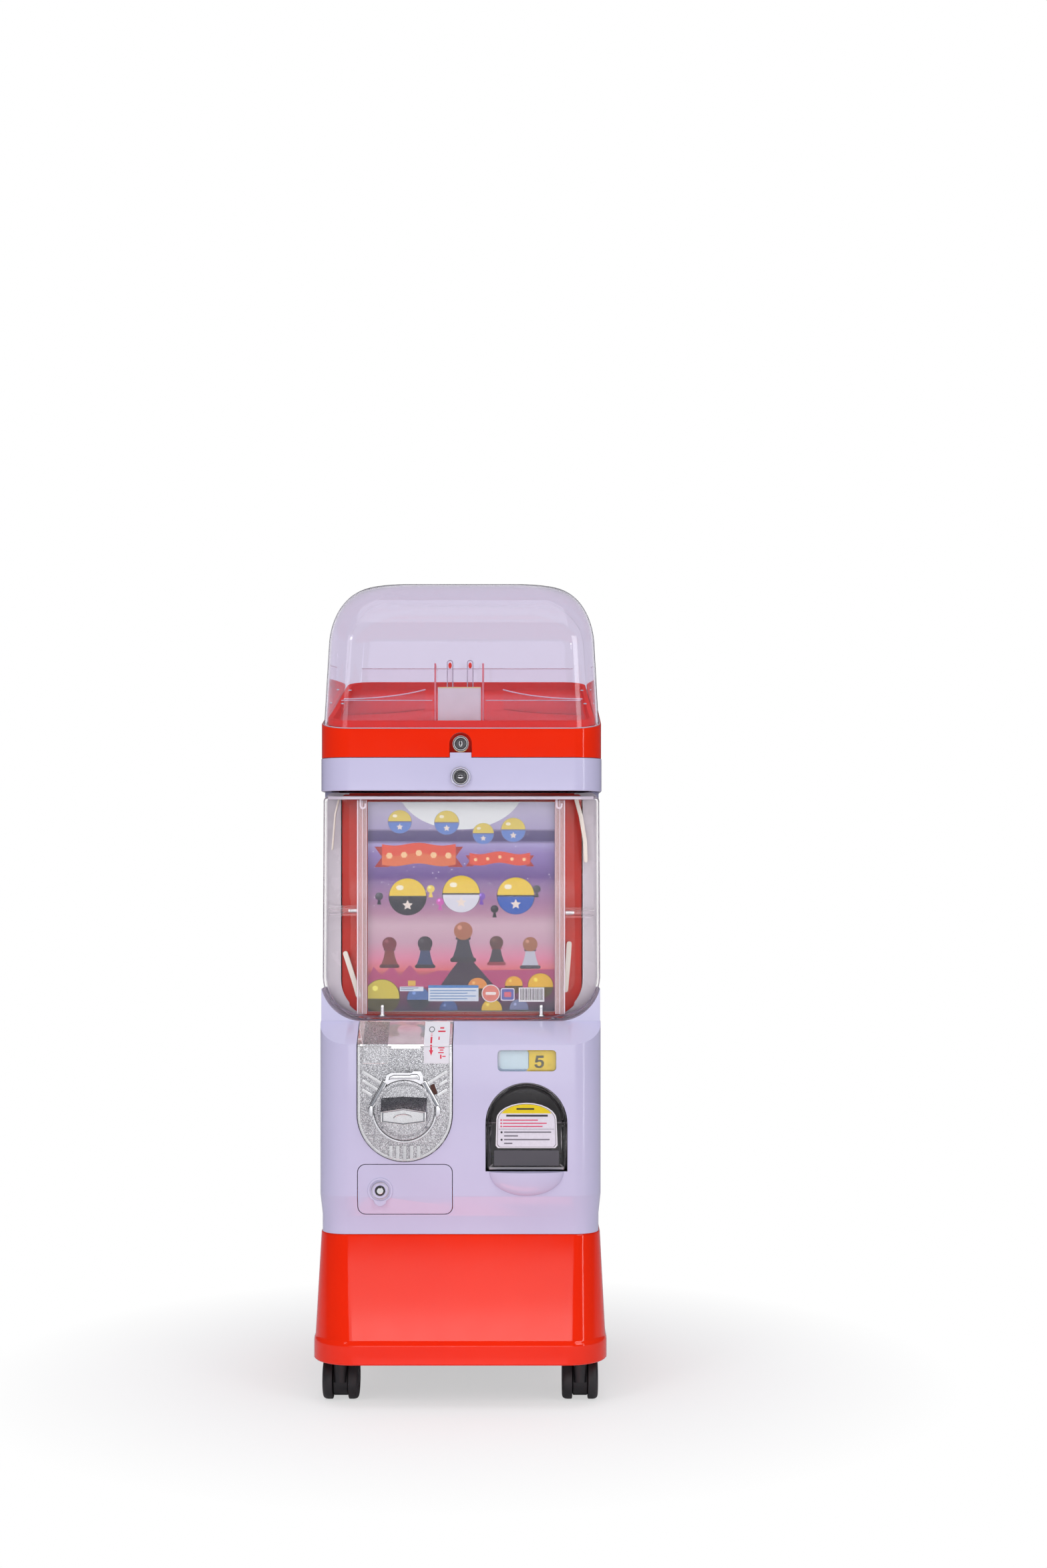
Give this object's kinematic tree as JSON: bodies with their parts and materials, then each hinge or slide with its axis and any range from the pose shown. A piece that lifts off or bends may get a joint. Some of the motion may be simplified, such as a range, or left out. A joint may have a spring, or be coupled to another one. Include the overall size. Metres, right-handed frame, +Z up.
{
  "type": "capsule toy vending machine",
  "caption": "Upright capsule toy vendor: flared base on casters, crank and coin plate, capsule flap, poster window, clear domed display lid.",
  "frame": {"origin": "centre of the footprint at floor level, under the caster wheels", "axes": "+Z up, +X to the object's left as it faces the user (viewer's right), -Y towards the user"},
  "size_m": [0.35, 0.44, 0.989],
  "materials": {
    "white_plastic": "glossy moulded, cool lavender white",
    "red_plastic": "glossy moulded, red-orange",
    "clear_plastic": "clear acrylic or polycarbonate, faint lavender tint",
    "smoked_plastic": "dark smoked clear plastic",
    "dark_plastic": "black moulded, satin",
    "natural_nylon": "off-white mechanism plastic",
    "cast_zinc": "cast, satin chrome plate with a fine pearskin",
    "chrome": "bright plated",
    "steel": "plated steel",
    "printed_card": "printed poster sheet",
    "cream_card": "cream card",
    "price_card": "printed price card"
  },
  "bodies": {
    "root": {"base_skirt": "red_plastic", "chassis_plate": "steel", "lower_cabinet": "white_plastic", "front_panel": "white_plastic", "upper_cabinet": "white_plastic", "top_band": "white_plastic", "back_panel": "white_plastic", "backing_panel": "red_plastic", "hopper_bin": "natural_nylon", "rotor_deck": "natural_nylon", "drop_guard": "steel", "capsule_chute": "natural_nylon", "dispense_bin": "dark_plastic", "flap_pin": "steel", "coin_faceplate": "cast_zinc", "mech_housing": "cast_zinc", "gear_bracket": "steel", "coin_chute": "natural_nylon", "cash_box": "dark_plastic", "price_window": "clear_plastic", "price_card": "price_card", "display_lock_barrel": "chrome", "lid_keeper": "steel", "hinge_leaf_fixed": "steel", "hinge_pin": "steel"},
    "lid": {"lid_collar": "red_plastic", "lid_tray": "red_plastic", "hood": "clear_plastic", "display_insert": "clear_plastic", "sample_card": "cream_card", "display_prongs": "clear_plastic", "hinge_leaf_moving": "steel", "lid_lock_barrel": "chrome"},
    "lid_lock": {"lid_lock_plug": "chrome"},
    "display_cover": {"display_cover": "clear_plastic", "poster_holder": "clear_plastic", "poster": "printed_card", "standoff_left": "clear_plastic", "standoff_right": "clear_plastic"},
    "display_lock": {"display_lock_plug": "chrome"},
    "knob": {"knob": "chrome", "knob_shaft": "steel", "coin_wheel": "cast_zinc", "drive_gear": "natural_nylon"},
    "transfer": {"transfer_gears": "natural_nylon"},
    "rotor": {"rotor": "natural_nylon", "agitator": "steel"},
    "flap": {"chute_flap": "smoked_plastic"},
    "cash_door": {"cash_door": "white_plastic", "cash_lock_barrel": "chrome"},
    "cash_lock": {"cash_lock_plug": "chrome"},
    "caster_front_left": {"caster_front_left_fork": "dark_plastic"},
    "caster_front_left_wheels": {"caster_front_left_wheels": "dark_plastic"},
    "caster_front_right": {"caster_front_right_fork": "dark_plastic"},
    "caster_front_right_wheels": {"caster_front_right_wheels": "dark_plastic"},
    "caster_rear_left": {"caster_rear_left_fork": "dark_plastic"},
    "caster_rear_left_wheels": {"caster_rear_left_wheels": "dark_plastic"},
    "caster_rear_right": {"caster_rear_right_fork": "dark_plastic"},
    "caster_rear_right_wheels": {"caster_rear_right_wheels": "dark_plastic"}
  },
  "joints": [
    {"name": "lid_hinge", "type": "hinge", "parent": "root", "child": "lid", "pos_m": [0, 0.2155, 0.77], "axis": [-1, 0, 0], "range_deg": [0, 80]},
    {"name": "lid_lock_turn", "type": "hinge", "parent": "lid", "child": "lid_lock", "pos_m": [0, -0.1479, 0.7865], "axis": [0, -1, 0], "range_deg": [0, 90]},
    {"name": "display_cover_tilt", "type": "hinge", "parent": "root", "child": "display_cover", "pos_m": [0, -0.145, 0.454], "axis": [1, 0, 0], "range_deg": [0, 70]},
    {"name": "display_lock_turn", "type": "hinge", "parent": "root", "child": "display_lock", "pos_m": [0, -0.1534, 0.7465], "axis": [0, 1, 0], "range_deg": [0, 90]},
    {"name": "knob_turn", "type": "hinge", "parent": "root", "child": "knob", "pos_m": [-0.065, -0.22, 0.3515], "axis": [0, 1, 0], "continuous": true},
    {"name": "transfer_turn", "type": "hinge", "parent": "root", "child": "transfer", "pos_m": [-0.012, -0.1135, 0.4021], "axis": [0, 1, 0], "continuous": true},
    {"name": "rotor_turn", "type": "hinge", "parent": "root", "child": "rotor", "pos_m": [-0.012, 0.055, 0.408], "axis": [0, 0, 1], "continuous": true},
    {"name": "flap_swing", "type": "hinge", "parent": "root", "child": "flap", "pos_m": [0.079, -0.176, 0.3345], "axis": [-1, 0, 0], "range_deg": [0, 70]},
    {"name": "cash_door_hinge", "type": "hinge", "parent": "root", "child": "cash_door", "pos_m": [-0.012, -0.187, 0.256], "axis": [0, 0, 1], "range_deg": [0, 95]},
    {"name": "cash_lock_turn", "type": "hinge", "parent": "cash_door", "child": "cash_lock", "pos_m": [-0.094, -0.1904, 0.2555], "axis": [0, -1, 0], "range_deg": [0, 90]},
    {"name": "caster_front_left_swivel", "type": "hinge", "parent": "root", "child": "caster_front_left", "pos_m": [-0.143, -0.165, 0.0555], "axis": [0, 0, 1], "continuous": true},
    {"name": "caster_front_left_roll", "type": "hinge", "parent": "caster_front_left", "child": "caster_front_left_wheels", "pos_m": [-0.143, -0.147, 0.025], "axis": [1, 0, 0], "continuous": true},
    {"name": "caster_front_right_swivel", "type": "hinge", "parent": "root", "child": "caster_front_right", "pos_m": [0.143, -0.165, 0.0555], "axis": [0, 0, 1], "continuous": true},
    {"name": "caster_front_right_roll", "type": "hinge", "parent": "caster_front_right", "child": "caster_front_right_wheels", "pos_m": [0.143, -0.147, 0.025], "axis": [1, 0, 0], "continuous": true},
    {"name": "caster_rear_left_swivel", "type": "hinge", "parent": "root", "child": "caster_rear_left", "pos_m": [-0.143, 0.15, 0.0555], "axis": [0, 0, 1], "continuous": true},
    {"name": "caster_rear_left_roll", "type": "hinge", "parent": "caster_rear_left", "child": "caster_rear_left_wheels", "pos_m": [-0.143, 0.168, 0.025], "axis": [1, 0, 0], "continuous": true},
    {"name": "caster_rear_right_swivel", "type": "hinge", "parent": "root", "child": "caster_rear_right", "pos_m": [0.143, 0.15, 0.0555], "axis": [0, 0, 1], "continuous": true},
    {"name": "caster_rear_right_roll", "type": "hinge", "parent": "caster_rear_right", "child": "caster_rear_right_wheels", "pos_m": [0.143, 0.168, 0.025], "axis": [1, 0, 0], "continuous": true}
  ],
  "couplings": [
    {"joint": "transfer_turn", "follows": "knob_turn", "ratio": -1},
    {"joint": "rotor_turn", "follows": "knob_turn", "ratio": -0.25}
  ]
}
